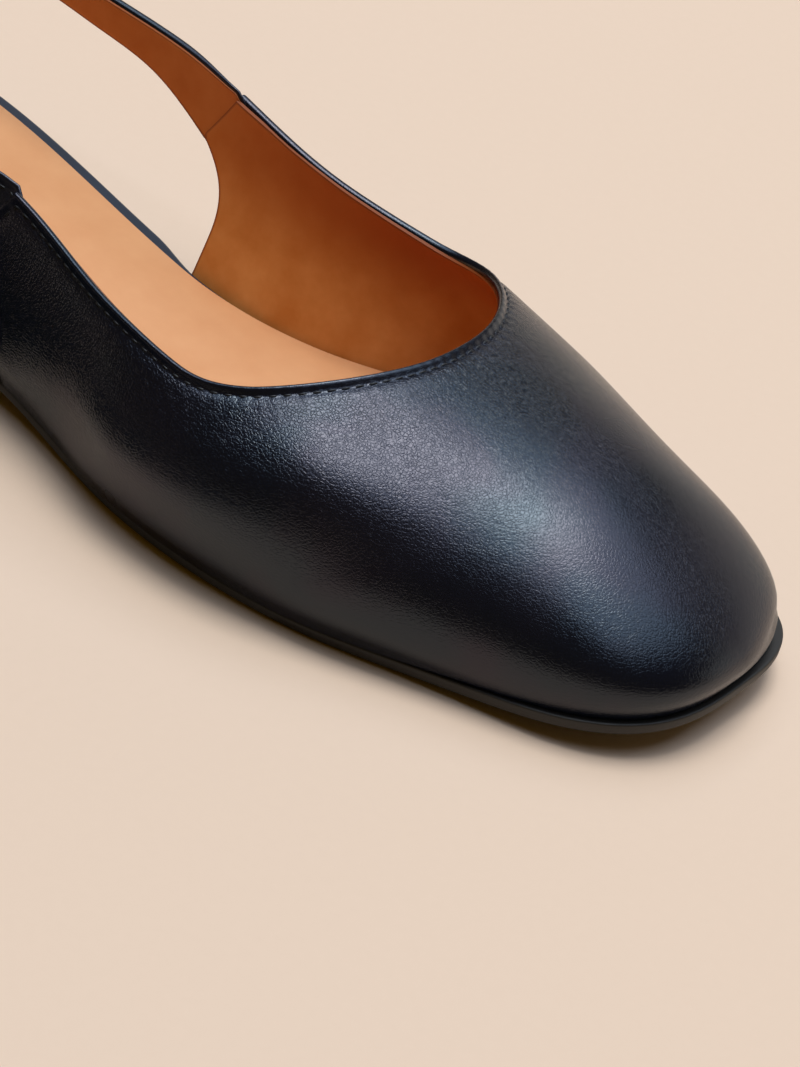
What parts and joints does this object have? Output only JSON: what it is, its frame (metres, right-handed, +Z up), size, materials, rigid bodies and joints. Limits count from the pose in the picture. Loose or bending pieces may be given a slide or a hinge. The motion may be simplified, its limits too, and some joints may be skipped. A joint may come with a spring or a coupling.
{
  "type": "sling back flat",
  "caption": "Women's sling back flat for the right foot: square toe, smooth leather vamp with two wings, open waist, plain strap round the heel and a low block heel.",
  "frame": {"origin": "on the floor, at the middle of the heel block's flat underside, 28 mm in front of the back of the outsole", "axes": "-Y towards the toe, +Z up, +X towards the wearer's left, which is the inner side of this right shoe"},
  "size_m": [0.0827, 0.25, 0.0553],
  "materials": {
    "sole_rubber": "matte, smooth moulded edge",
    "heel_block": "satin, painted block",
    "wrapped_leather": "smooth navy leather wrapped over the board",
    "tan_leather": "smooth matt lining leather",
    "navy_leather": "semi-gloss navy calf with a fine grain",
    "strap_leather": "semi-gloss navy calf with a fine grain"
  },
  "bodies": {
    "root": {"outsole": "sole_rubber", "heel": "heel_block", "insole": "wrapped_leather", "sock_lining": "tan_leather", "upper": "navy_leather", "sling_strap": "strap_leather"}
  },
  "joints": []
}
